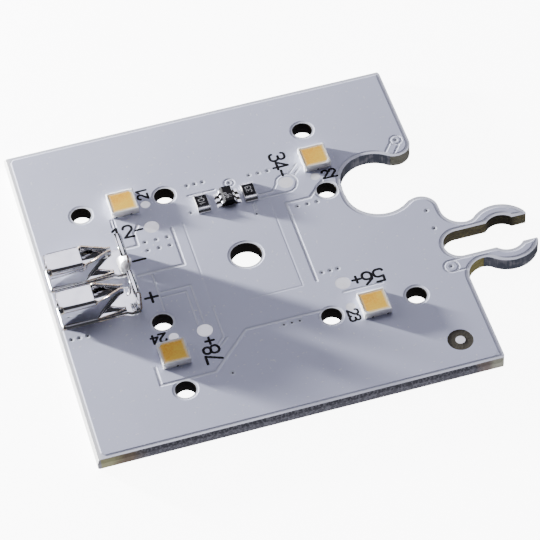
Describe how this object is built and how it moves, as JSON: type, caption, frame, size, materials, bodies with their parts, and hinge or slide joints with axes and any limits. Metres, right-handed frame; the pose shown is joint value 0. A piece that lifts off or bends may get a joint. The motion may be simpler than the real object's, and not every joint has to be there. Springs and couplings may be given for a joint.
{
  "type": "led module",
  "caption": "Flat square LED board with surface-mounted light packages, a driver chip, two wire terminals and a plated fork and notch that clip to the next board.",
  "frame": {"origin": "axis of the middle screw hole, on the board's back face", "axes": "+Z out of the lit side, +X towards the edge with the fork and the notch, +Y towards the notch"},
  "size_m": [0.0608, 0.0508, 0.0055],
  "materials": {
    "board": "white solder mask over glass-epoxy laminate",
    "plating": "tinned copper edge plating, dull",
    "bare_pad": "bare tinned copper, satin",
    "solder": "reflowed solder, bright",
    "lead_frame": "silvered copper alloy, satin",
    "led_moulding": "white moulding, satin",
    "phosphor": "silicone filled with pale yellow phosphor",
    "ceramic": "white alumina, smooth",
    "black_glaze": "black glaze with grey print",
    "cap_tin": "tinned, bright",
    "driver_moulding": "black epoxy moulding, fine matt",
    "lead_tin": "matt tin",
    "terminal_tin": "tinned phosphor bronze sheet, satin bright"
  },
  "bodies": {
    "root": {"circuit_board": "board", "notch_plating_lower": "plating", "notch_plating_upper": "plating", "fork_plating_lower": "plating", "fork_plating_upper": "plating", "test_pad_back_left": "bare_pad", "sensor_pad_back_left": "bare_pad", "led_solder_back_left": "solder", "led_frame_back_left": "lead_frame", "led_body_back_left": "led_moulding", "led_phosphor_back_left": "phosphor", "test_pad_back_right": "bare_pad", "sensor_pad_back_right": "bare_pad", "led_solder_back_right": "solder", "led_frame_back_right": "lead_frame", "led_body_back_right": "led_moulding", "led_phosphor_back_right": "phosphor", "test_pad_front_right": "bare_pad", "sensor_pad_front_right": "bare_pad", "led_solder_front_right": "solder", "led_frame_front_right": "lead_frame", "led_body_front_right": "led_moulding", "led_phosphor_front_right": "phosphor", "test_pad_front_left": "bare_pad", "sensor_pad_front_left": "bare_pad", "led_solder_front_left": "solder", "led_frame_front_left": "lead_frame", "led_body_front_left": "led_moulding", "led_phosphor_front_left": "phosphor", "fiducial_dot": "bare_pad", "resistor_1_core": "ceramic", "resistor_1_coat": "black_glaze", "resistor_1_cap_front": "cap_tin", "resistor_1_cap_back": "cap_tin", "resistor_1_solder": "solder", "resistor_2_core": "ceramic", "resistor_2_coat": "black_glaze", "resistor_2_cap_front": "cap_tin", "resistor_2_cap_back": "cap_tin", "resistor_2_solder": "solder", "driver_body": "driver_moulding", "driver_lead_1": "lead_tin", "driver_lead_2": "lead_tin", "driver_lead_3": "lead_tin", "driver_lead_4": "lead_tin", "driver_lead_5": "lead_tin", "driver_lead_6": "lead_tin", "driver_solder": "solder", "terminal_minus": "terminal_tin", "terminal_minus_solder": "solder", "terminal_plus": "terminal_tin", "terminal_plus_solder": "solder"}
  },
  "joints": []
}
